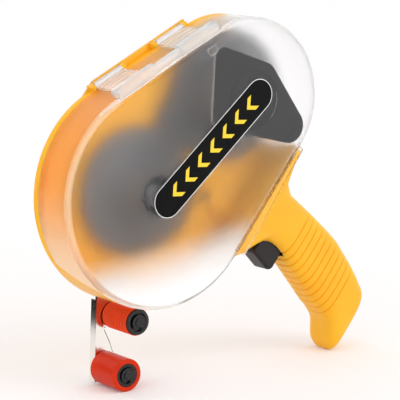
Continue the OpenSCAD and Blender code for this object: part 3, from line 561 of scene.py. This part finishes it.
def grip_half_surface(side):
    """Superellipse |x|^n + |z|^n = 1, drawn by direction angle; a groove takes a parabola off the radius."""
    in_groove = (GROOVES[:, None] + GROOVE_W * np.linspace(-0.5, 0.5, GROOVE_ROWS)).ravel()
    plain = np.linspace(STATIONS[0, 0], STATIONS[-1, 0], ROWS)
    t = np.unique(np.round(np.concatenate([plain, in_groove]), 2))
    angle = np.linspace(0, np.pi, COLUMNS)
    front, rear, over, square = (through_stations(t, c)[:, None] for c in (1, 2, 3, 4))
    reach = np.abs(t[:, None] - GROOVES).min(1)
    dip = GROOVE_D * np.clip(1 - (2 * reach / GROOVE_W) ** 2, 0, 1)[:, None]
    fade = np.clip((angle - FADE_FROM) / FADE_OVER, 0, 1)
    at_split = np.minimum(angle, np.pi - angle) < 1e-6
    dip = dip * fade**2 * (3 - 2 * fade) + SEAM * at_split
    size = (np.abs(np.cos(angle)) ** square + np.abs(np.sin(angle)) ** square) ** (1 / square)
    along = (front + rear) / 2 + ((rear - front) / 2 - dip) * np.cos(angle) / size
    depth = GRIP_SPLIT - side * (GRIP_HALF + over - dip) * np.sin(angle) / size
    points = grip_points(np.broadcast_to(t[:, None], along.shape), along, depth)
    return points, closed_faces(*along.shape)


print("grid of one half:", grip_half_surface(1)[0].shape[:2])

# %% [markdown]
# ## Room for the trigger and the screws
# The trigger sits in a pocket in the crotch of the grip, its arm runs through a slot into the case, and
# three screws sit in round recesses at the back. The loft could be drawn round them, but taking prisms out
# of it with a Boolean keeps the loft simple and the pocket's edges sharp.

# %% Rooms in the grip
POCKET = [(15.2, 0), (38, 0), (38, 22), (48, 22), (48, 38), (15.2, 38)]
POCKET_HALF = 7.6
SLOT = [(-1, 18.2), (19, 23), (19, 37), (-1, 31)]
SLOT_DEPTHS = (3.9, 8.1)
SCREWS = [(12, 46), (62, 40), (98, 24)]
RECESS_R, RECESS_STEPS, RECESS_DEPTHS = 3.2, 48, (9, 20)


def prism(name, corners, depths):
    """A prism over corners given off and along the grip's edge, between two depths."""
    corners = np.array(corners, float)
    count = len(corners)
    points = np.concatenate([grip_points(corners[:, 0], corners[:, 1], depth) for depth in depths])
    return make_piece(name, points, closed_faces(2, count), [YELLOW])


def trigger_rooms():
    """The trigger's pocket, open at the front edge, and the slot for its arm."""
    pocket = prism("pocket", POCKET, (GRIP_SPLIT - POCKET_HALF, GRIP_SPLIT + POCKET_HALF))
    return [pocket, prism("slot", SLOT, SLOT_DEPTHS)]


def screw_room(at):
    """A round recess for a screw head, open at the back of the grip."""
    turn = np.linspace(0, 2 * np.pi, RECESS_STEPS + 1)[:-1]
    circle = np.stack([at[0] + RECESS_R * np.cos(turn), at[1] + RECESS_R * np.sin(turn)], -1)
    return prism("recess", circle, RECESS_DEPTHS)


print("corners of the pocket:", len(POCKET), "screws:", len(SCREWS))

# %% The two halves
grip_front = make_piece("grip_front_half", *grip_half_surface(1), [YELLOW])
carve(grip_front, trigger_rooms())
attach(grip_front, "base")
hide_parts("grip_cover")
grip_rear = make_piece("grip_rear_half", *grip_half_surface(-1), [YELLOW])
carve(grip_rear, trigger_rooms() + [screw_room(at) for at in SCREWS])
print("grip faces:", len(grip_front.data.polygons), len(grip_rear.data.polygons))

# %% [markdown]
# ## The case
# On the real tool the rear half of the grip is one moulding with the case. The case's own shape is right in
# the CAD, so it is copied up to the grip's edge and joined with the smooth rear half, just inside its first
# section.

# %% Case with the rear half of the grip
CASE_END = 0.42
edge = Vector(grip_points(CASE_END, 0, 0).tolist())
outwards = Vector((GRIP_OFF[0], 0, GRIP_OFF[1]))
case = copy_node("case_shell", "housing", [YELLOW], (edge, outwards))
join(case, grip_rear)
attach(case, "base")
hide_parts("housing")
print("case faces:", len(case.data.polygons))

# %% [markdown]
# ## Reading a mesh into arrays
# Some pieces keep their CAD shape and differ only in the finish of some faces. Faces could be picked by
# hand in the editor, but a rule on where they lie and which way they face works again after every change.
# For that the mesh is read into arrays, and the rule gives each face the number of a material slot.


# %% Read a mesh, and finish its faces
def read_array(items, key, width=3, kind=float):
    """One property of all items as an array with a row for each item."""
    values = np.empty(len(items) * width, kind)
    items.foreach_get(key, values)
    return values.reshape(-1, width)


def set_finish(piece, slots):
    """Gives each face the number of its material slot."""
    piece.data.polygons.foreach_set("material_index", slots.astype(np.int32))


def within(values, low, high):
    """Which values lie between two limits."""
    return (values > low) & (values < high)


print("case points read:", read_array(case.data.vertices, "co").shape)

# %% [markdown]
# ## The cover
# The cover is one moulding, a dish with a round rim, a flat lip along the grip, and straps and a bead at
# the hinge, and each of these scatters light in its own way. It keeps its CAD shape. Its bead is drawn a
# little slimmer by moving the points that lie on it straight towards its axis.

# %% Cover from its CAD shape
COVER_FINISHES = [CLEAR, RIM, MILKY, WALL, LIP]
BEAD_R, THIN_R, BEAD_OFF, BEAD_Y = 3.4, 2.6, 1.8, -14.7
ON_SURFACE = 0.05
cover = copy_node("frosted_cover", "clear_cover", COVER_FINISHES)
corners = (read_array(cover.data.vertices, "co") - supply) / MM
arm = np.stack([edge_frame(corners, HINGE_OFF, HINGE_ALONG)[0] - BEAD_OFF, corners[:, 1] - BEAD_Y], -1)
of_bead = np.abs(np.hypot(*arm.T) - BEAD_R) < ON_SURFACE
pull = of_bead[:, None] * arm * (THIN_R / BEAD_R - 1)
corners += np.stack([pull[:, 0] * HINGE_OFF[0], pull[:, 1], pull[:, 0] * HINGE_OFF[1]], -1)
cover.data.vertices.foreach_set("co", (corners * MM + supply).ravel())
cover.data.update()
print("points of the cover:", len(corners), "drawn in on the bead:", int(of_bead.sum()))

# %% Where the cover's faces lie
UPRIGHT, FLAT = 0.1, 0.97  # share of a face's normal that points to the front
centres = (read_array(cover.data.polygons, "center") - supply) / MM
facing = np.abs(read_array(cover.data.polygons, "normal")[:, 1])
off_hinge, along_hinge = edge_frame(centres, HINGE_OFF, HINGE_ALONG)
off_grip, along_grip = edge_frame(centres, GRIP_OFF, GRIP_ALONG)
from_lobe = centres[:, [0, 2]] - lobe
lobe_r = np.hypot(*from_lobe.T)
lobe_turn = np.degrees(np.arctan2(from_lobe[:, 1], from_lobe[:, 0]))
print("flat faces:", int((facing > FLAT).sum()), "upright faces:", int((facing < UPRIGHT).sum()))

# %% [markdown]
# ## Finish of the cover's faces
# The straps and bead stand off the hinge's edge. The rim is what leans between flat and upright, away from
# the hinge, and its pale finish is a painted highlight. The moulded lines lie as deep as the label's seat:
# the small frame by the strap and the arc of the ring round the take-up axis that catches the light get the
# pale finish, a painted highlight on the arc. The wall is upright, and the lip is flat and lies along the
# grip.

# %% Rules for the finishes
# Limits in mm, and in degrees round the take-up axis
STRAP_OFF, BEAD_MID, BEAD_ROOM = 0.15, -14.5, 4.3
HINGE_IN, HINGE_RUN = -9, (2, 78)
LINE_Y, LINE_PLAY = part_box("cover_label")[1][1] / MM, 0.1
RING_OUT, LIT_TURN = 25, (-42, 10)
GRIP_IN, GRIP_RUN = -4, (0, 88)
LIP_IN, LIP_RUN = -1.5, (-8, 88)
# Straps and bead: a milky finish that is partly a painted highlight on their round edges
milky = (off_hinge > STRAP_OFF) | (np.hypot(off_hinge - BEAD_OFF, centres[:, 1] - BEAD_MID) < BEAD_ROOM)
by_hinge = (off_hinge > HINGE_IN) & within(along_hinge, *HINGE_RUN)
# The rim's pale finish is a painted highlight
rim = within(facing, UPRIGHT, FLAT) & ~by_hinge
on_line = (facing > FLAT) & within(centres[:, 1], LINE_Y - LINE_PLAY, LINE_Y + LINE_PLAY)
# Moulded lines get the pale finish: the small frame all round, the ring only on its lit arc, a painted
# highlight
pale = on_line & ((lobe_r > RING_OUT) | within(lobe_turn, *LIT_TURN))
by_grip = (off_grip > GRIP_IN) & within(along_grip, *GRIP_RUN)
wall = (facing < UPRIGHT) & ~by_grip
lip = (facing > UPRIGHT) & (off_grip > LIP_IN) & within(along_grip, *LIP_RUN)
slots = [COVER_FINISHES.index(finish) for finish in (MILKY, RIM, WALL, LIP)]
set_finish(cover, np.select([milky, rim | pale, wall, lip], slots, 0))
print("milky, rim, wall and lip faces:", *(int(mask.sum()) for mask in (milky, rim | pale, wall, lip)))

# %% Cover in the frame
# Light that thin frosted plastic scatters fills the room behind it, so the cover and the two plates on it
# cast no shadow on the reels
for piece in (cover, nodes["cover_label"], nodes["spool_retainer"]):
    piece.visible_shadow = False
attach(cover, "cover")
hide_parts("clear_cover")
print("cover faces:", len(cover.data.polygons))

# %% [markdown]
# ## The supply hub
# The post of the hub is a tube that ends close behind the cover, and light that the cover scatters fills
# its hollow. A lamp inside would light the reel too, so that light is painted on the hollow's faces as a
# paler grey instead.

# %% Hub with painted light in its hollow
HOLLOW_R = 10
hub = copy_node("supply_hub_shell", "supply_hub", [REEL, LIT_HOLLOW])
middles = (read_array(hub.data.polygons, "center") - supply) / MM
hollow = (np.hypot(middles[:, 0], middles[:, 2]) < HOLLOW_R) & (middles[:, 1] < 0)
set_finish(hub, hollow)
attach(hub, "supply_reel")
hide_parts("supply_hub")
print("hub faces:", len(hollow), "pale:", int(hollow.sum()))

# %% [markdown]
# ## The ribbed roller
# The upper roller's sleeve has narrow V grooves round it. They could be a bump in the rubber's material,
# but the grooves show in the roller's outline, so they are shaped: a profile of radius against depth is
# turned about the axle, and the faces deep in a groove get the painted shade.

# %% Turn a profile
TURN_STEPS = 128


def turned(name, axis, radius, depth, materials):
    """Each point (radius, depth) of a closed profile carried round the axis: x = r cos, z = r sin."""
    turn = np.linspace(0, 2 * np.pi, TURN_STEPS + 1)[:-1]
    x = axis[0] + radius[:, None] * MM * np.cos(turn)
    z = axis[2] + radius[:, None] * MM * np.sin(turn)
    y = np.broadcast_to(depth[:, None] * MM, x.shape)
    rings = np.stack([x, y, z], -1)
    points = np.concatenate([rings, rings[:1]])
    return make_piece(name, points, grid_faces(len(points), TURN_STEPS, True), materials)


print("steps round an axle:", TURN_STEPS)

# %% Profile of the ribbed sleeve
RIDGES, RIDGE_D, RIDGE_W, RIDGE_STEPS = 15, 0.8, 0.9, 12
low, high = (np.array(corner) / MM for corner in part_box("upper_roller_sleeve"))
core_low, core_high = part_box("lower_roller_core")
core_r = (core_high[0] - core_low[0]) / 2 / MM
run = np.linspace(0, 1, RIDGES * RIDGE_STEPS + 1)
pitch = (high[1] - low[1]) / RIDGES
off_groove = np.abs((run * RIDGES + 0.5) % 1 - 0.5) * pitch
crest = (high[0] - low[0]) / 2 - RIDGE_D * np.clip(1 - 2 * off_groove / RIDGE_W, 0, 1)
profile_r = np.concatenate([crest, [core_r, core_r]])
profile_y = np.concatenate([high[1] + (low[1] - high[1]) * run, low[1:2], high[1:2]])
print("ridge pitch, mm:", round(pitch, 2), "core radius, mm:", round(core_r, 2))

# %% Ribbed sleeve
DARK_FROM, CORE_PLAY = 0.45, 0.2  # share of a groove's depth, and mm off the core
upper_axle = np.array(joints["upper_roller_spin"]["pos_m"])
sleeve = turned("ribbed_roller_sleeve", upper_axle, profile_r, profile_y, [RED_RIBBED, GROOVE_SHADE])
from_axle = (read_array(sleeve.data.polygons, "center") - upper_axle)[:, [0, 2]] / MM
# Faces deep in a groove get painted shade
deep = within(np.hypot(*from_axle.T), core_r + CORE_PLAY, crest.max() - DARK_FROM * RIDGE_D)
set_finish(sleeve, deep)
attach(sleeve, "upper_roller")
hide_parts("upper_roller_sleeve")
print("sleeve faces:", len(deep), "in grooves:", int(deep.sum()))

# %% [markdown]
# ## The bracket
# The bracket is polished sheet, and its cut edge shows as a thin dark line between the rollers, a painted
# dark reflection.
# A dark line could be drawn as a strip of its own, but a Bevel modifier limited by edge weight makes the edge
# a real face with its own material. Only the straight run between the rollers has weight, because that is the
# part that shows.

# %% Bracket with a painted dark reflection on its cut edge
CUT_RUN, CUT_SIDE, CHAMFER = (-92.5, -77), -22, 0.8  # z and x from the supply axis, and the chamfer's width
AT_FRONT = 0.02
bracket = copy_node("nose_bracket", "roller_bracket", [POLISHED, DARK_EDGE])
edges = bracket.data.edges
places = (read_array(bracket.data.vertices, "co") - supply) / MM
pairs = read_array(edges, "vertices", 2, np.int32)
sharp = read_array(edges, "use_edge_sharp", 1, bool)[:, 0]
front_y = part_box("roller_bracket")[0][1] / MM
in_run = within(places[:, 2], *CUT_RUN) & (places[:, 0] > CUT_SIDE)
cut = sharp & (in_run & (np.abs(places[:, 1] - front_y) < AT_FRONT))[pairs].all(1)
weight = bracket.data.attributes.new("bevel_weight_edge", "FLOAT", "EDGE")
weight.data.foreach_set("value", cut.astype(np.float32))
# The chamfer's faces carry the painted dark reflection
chamfer = bracket.modifiers.new("dull_edge", "BEVEL")
chamfer.width, chamfer.segments, chamfer.limit_method, chamfer.material = CHAMFER * MM, 1, "WEIGHT", 1
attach(bracket, "base")
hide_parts("roller_bracket")
print("bracket edges:", len(edges), "cut:", int(cut.sum()))

# %% [markdown]
# ## The trigger
# A finger rests on the trigger's blade, so its edges are round. A Bevel modifier could round the CAD copy,
# but what it gives depends on how the faces are cut into triangles. So the blade is a surface of its own:
# the hull of four discs, drawn in towards both sides along a quarter circle. The arm inside the grip keeps
# its CAD shape.

# %% Surface of the blade
BLADE = np.array([(20.2, 14.6, 2.8), (32.9, 13.3, 3.6), (34.5, 31, 2), (19.6, 31, 2)])  # off, along, radius
BLADE_HALF, BLADE_ROUND = 7.0, 1.9
BLADE_STEPS, ROUND_STEPS = 120, 9


def blade_surface():
    """Hull of discs (c, r): in direction d the outline is at c + r d of the disc with the largest c.d + r."""
    turn = np.linspace(0, 2 * np.pi, BLADE_STEPS + 1)[:-1]
    tilt = np.linspace(0, np.pi / 2, ROUND_STEPS)
    heading = np.stack([np.cos(turn), np.sin(turn)], -1)
    best = (BLADE[:, :2] @ heading.T + BLADE[:, 2:]).argmax(0)
    rise = BLADE_HALF - BLADE_ROUND * (1 - np.sin(tilt))
    inset = BLADE_ROUND * (1 - np.cos(tilt))
    depth, inset = np.concatenate([-rise[::-1], rise]), np.concatenate([inset[::-1], inset])
    out = BLADE[best, :2] + (BLADE[best, 2] - inset[:, None])[..., None] * heading
    points = grip_points(out[..., 0], out[..., 1], GRIP_SPLIT + depth[:, None])
    return points, closed_faces(len(depth), len(turn))


blade = make_piece("blade", *blade_surface(), [TRIGGER])
print("blade faces:", len(blade.data.polygons))

# %% Trigger with a rounded blade
ARM_FROM = 28
inside = Vector(grip_points(0, ARM_FROM, 0).tolist())
forwards = Vector((-GRIP_ALONG[0], 0, -GRIP_ALONG[1]))
trigger = copy_node("finger_trigger", "trigger", [TRIGGER], (inside, forwards))
join(trigger, blade)
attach(trigger, "trigger")
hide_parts("trigger")
print("trigger faces:", len(trigger.data.polygons))

# %% [markdown]
# ## Print on the label
# The label is black film with a white hairline round its edge and a row of plain yellow chevrons that show
# which way the tape feeds. Ink is a few hundredths of a millimetre thick. It could be a pattern in the
# film's material, but a flat sheet just off the film has sharp edges at any distance.

# %% Frame of the label
LABEL_L, LABEL_W, LABEL_A = 104.0, 19.0, math.radians(41)
LABEL_AT = np.array([34.0, 25.5])
INK_T = 0.03
INK_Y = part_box("cover_label")[0][1] / MM - INK_T
LABEL_ALONG = np.array([math.cos(LABEL_A), math.sin(LABEL_A)])
LABEL_UP = np.array([-math.sin(LABEL_A), math.cos(LABEL_A)])


def label_points(u, v):
    """Place on the label: its middle + u along it + v across it, at the ink's depth."""
    flat = LABEL_AT + np.asarray(u)[..., None] * LABEL_ALONG + np.asarray(v)[..., None] * LABEL_UP
    depth = np.full(flat.shape[:-1], INK_Y * MM)
    return np.stack([supply[0] + flat[..., 0] * MM, depth, supply[2] + flat[..., 1] * MM], -1)


print("ink lies at depth, mm:", round(INK_Y, 2))

# %% Hairline and chevrons
HAIRLINE, BEND_POINTS = (0.1, 0.5), 48  # insets of the line's two edges, and points on each round end


def stadium(inset):
    """Outline of two half circles joined by straight lines, a distance inside the label's edge."""
    turn = np.linspace(-np.pi / 2, np.pi / 2, BEND_POINTS)
    r, half = LABEL_W / 2 - inset, (LABEL_L - LABEL_W) / 2
    u = np.concatenate([half + r * np.cos(turn), -half - r * np.cos(turn)])
    v = np.concatenate([r * np.sin(turn), -r * np.sin(turn)])
    return label_points(u, v)


def chevrons(count, pitch, height, arm, thick):
    """Each chevron is two slanted bars that meet in a point towards the nose: six corners, two faces."""
    middle = (np.arange(count) - (count - 1) / 2)[:, None] * pitch
    u = middle + np.array([arm, 0, arm, arm + thick, thick, arm + thick]) - (arm + thick) / 2
    v = np.broadcast_to(np.array([1, 0, -1, 1, 0, -1]) * height / 2, u.shape)
    start = 6 * np.arange(count)[:, None, None]
    return label_points(u, v), (start + np.array([[0, 1, 4, 3], [1, 2, 5, 4]])).reshape(-1, 4)


ring = np.stack([stadium(inset) for inset in HAIRLINE])
hairline = make_piece("label_hairline", ring, grid_faces(2, 2 * BEND_POINTS, True), [WHITE_INK])
arrow_grid = chevrons(count=7, pitch=11.5, height=9, arm=4.5, thick=3.2)
arrows = make_piece("label_chevrons", *arrow_grid, [YELLOW_INK])
for print_piece in (hairline, arrows):
    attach(print_piece, "cover")
print("label prints:", len(hairline.data.polygons), len(arrows.data.polygons))

# %% [markdown]
# ## Floor and world
# The object stands on a plain white floor in a white world. Lighting a background until it is white would
# also bleach the object, so the floor and the world are lifted only for rays that show them: from the
# camera, from a mirror or through the clear cover. The lift grows away from the object, so its shadow
# stays.


# %% Floor
def seen_directly(tree):
    """1 for a ray from the camera, a mirror or glass, which is what shows the background."""
    path = add_node(tree, "ShaderNodeLightPath").outputs
    pair = add_node(tree, "ShaderNodeMath", {"operation": "MAXIMUM"},
                    in0=path["Is Camera Ray"], in1=path["Is Glossy Ray"])
    return add_node(tree, "ShaderNodeMath", {"operation": "MAXIMUM"},
                    in0=pair.outputs[0], in1=path["Is Transmission Ray"]).outputs[0]


def paper():
    """White paper that is lifted by 0.08 near the object and by 0.16 from 0.8 m out."""
    material, tree, shader = new_material("white_paper_floor", "#F2EFEF", Roughness=0.8)
    shader.inputs["Emission Color"].default_value = linear("#FFFFFF")
    place = add_node(tree, "ShaderNodeTexCoord")
    reach = add_node(tree, "ShaderNodeVectorMath", {"operation": "LENGTH"}, in0=place.outputs["Object"])
    glow = add_node(tree, "ShaderNodeMapRange", Value=reach.outputs["Value"],
                    From_Min=0.2, From_Max=0.8, To_Min=0.08, To_Max=0.16)
    lift = add_node(tree, "ShaderNodeMath", {"operation": "MULTIPLY"},
                    in0=seen_directly(tree), in1=glow.outputs["Result"])
    tree.links.new(lift.outputs[0], shader.inputs["Emission Strength"])
    return material


def stage_sheet(name, corners, material):
    """One flat face that belongs to the stage and not to the object."""
    mesh = bpy.data.meshes.new(name)
    mesh.from_pydata(corners, [], [(0, 1, 2, 3)])
    mesh.materials.append(material)
    sheet = bpy.data.objects.new(name, mesh)
    bpy.context.scene.collection.objects.link(sheet)
    sheet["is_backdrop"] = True
    return sheet


FLOOR = 6.0
floor_corners = [(-FLOOR, -FLOOR, 0), (FLOOR, -FLOOR, 0), (FLOOR, FLOOR, 0), (-FLOOR, FLOOR, 0)]
stage_sheet("floor", floor_corners, paper())
print("floor side, m:", 2 * FLOOR)

# %% World
world = bpy.data.worlds.new("studio")
bpy.context.scene.world = world
world.use_nodes = True
sky = world.node_tree.nodes["Background"]
sky.inputs["Color"].default_value = linear("#FFFFFF")
level = add_node(world.node_tree, "ShaderNodeMapRange", Value=seen_directly(world.node_tree),
                 To_Min=0.95, To_Max=1.0)
world.node_tree.links.new(level.outputs[0], sky.inputs["Strength"])
print("world nodes:", len(world.node_tree.nodes))

# %% [markdown]
# ## Lamps and a dark card
# Most light comes from the white world. Three weak soft boxes shape it: a key from above, one low in front
# for the inside of the cover, and a fill from the nose side. In an all-white studio polished steel looks
# white too, so a black card stands where the bracket mirrors it, and only mirrors see it.

# %% Soft boxes
LAMP_SIDE, LAMP_TARGET = 0.6, Vector((0, 0, 0.1))


def soft_box(name, place, watts):
    """A square area lamp that faces the middle of the object."""
    light = bpy.data.lights.new(name, "AREA")
    light.shape, light.size, light.energy = "SQUARE", LAMP_SIDE, watts
    lamp = bpy.data.objects.new(name, light)
    lamp.location = place
    lamp.rotation_euler = (LAMP_TARGET - Vector(place)).to_track_quat("-Z", "Y").to_euler()
    bpy.context.scene.collection.objects.link(lamp)


soft_box("key", (0.35, -0.7, 0.9), watts=1.7)
soft_box("front", (0.5, -0.9, 0.12), watts=1.4)
soft_box("fill", (-0.9, -0.3, 0.5), watts=1)
print("lamps:", len(bpy.data.lights))

# %% Dark card
CARD_W, CARD_H, CARD_FACING = 0.14, 0.08, np.array([0.59, -0.81])
CARD_FROM_BRACKET = np.array([-0.106, 0.146])
card_black = new_material("black_card", "#060606", Roughness=1.0, Specular_IOR_Level=0.0)[0]
foot = np.append(np.array(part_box("roller_bracket")[0])[:2] + CARD_FROM_BRACKET, 0)
across = np.array([-CARD_FACING[1], CARD_FACING[0], 0]) / np.hypot(*CARD_FACING) * CARD_W / 2
rise = np.array([0, 0, CARD_H])
sheet_corners = [foot - across, foot + across, foot + across + rise, foot - across + rise]
card = stage_sheet("dark_card", sheet_corners, card_black)
card.visible_camera = card.visible_diffuse = card.visible_transmission = card.visible_shadow = False
print("card stands at, m:", foot.round(3).tolist())

# %% [markdown]
# ## Camera
# The camera stands where the photograph's did: 36 degrees to the nose side of the cover and about 10
# degrees up. It is far off with a long lens, because the photograph shows little perspective. The lens
# follows from the scale of the picture, 1.72 pixels to the millimetre at the object.

# %% Camera
AZIMUTH, ELEVATION, DISTANCE = math.radians(-36), math.radians(9.6), 1.1
SENSOR, FRAME_PX, PX_PER_MM = 36, 400, 1.72
AIM_PAST_SUPPLY, AIM_Y, AIM_Z = 39.14, 2.5, 102
target = Vector((supply[0] + AIM_PAST_SUPPLY * MM, AIM_Y * MM, AIM_Z * MM))
level_back = math.cos(ELEVATION)
back = Vector((math.sin(AZIMUTH) * level_back, -math.cos(AZIMUTH) * level_back, math.sin(ELEVATION)))
lens = bpy.data.cameras.new("camera")
lens.sensor_width, lens.lens = SENSOR, PX_PER_MM * DISTANCE / MM / FRAME_PX * SENSOR
camera = bpy.data.objects.new("camera", lens)
camera.location = target + back * DISTANCE
camera.rotation_euler = (-back).to_track_quat("-Z", "Y").to_euler()
bpy.context.scene.collection.objects.link(camera)
bpy.context.scene.camera = camera
bpy.context.scene.view_settings.view_transform = "Standard"
print("lens, mm:", round(lens.lens, 1))

# %% [markdown]
# ## Sizes, and the end
# The box of the dressed object is written down in millimetres. The dressed object has to stay inside
# the box of the CAD model. The box is measured again only now, when every piece is in its place.

# %% Sizes, and the end
low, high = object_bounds()
print("visual box, mm:", [round(v / MM, 1) for v in (*low, *high)])
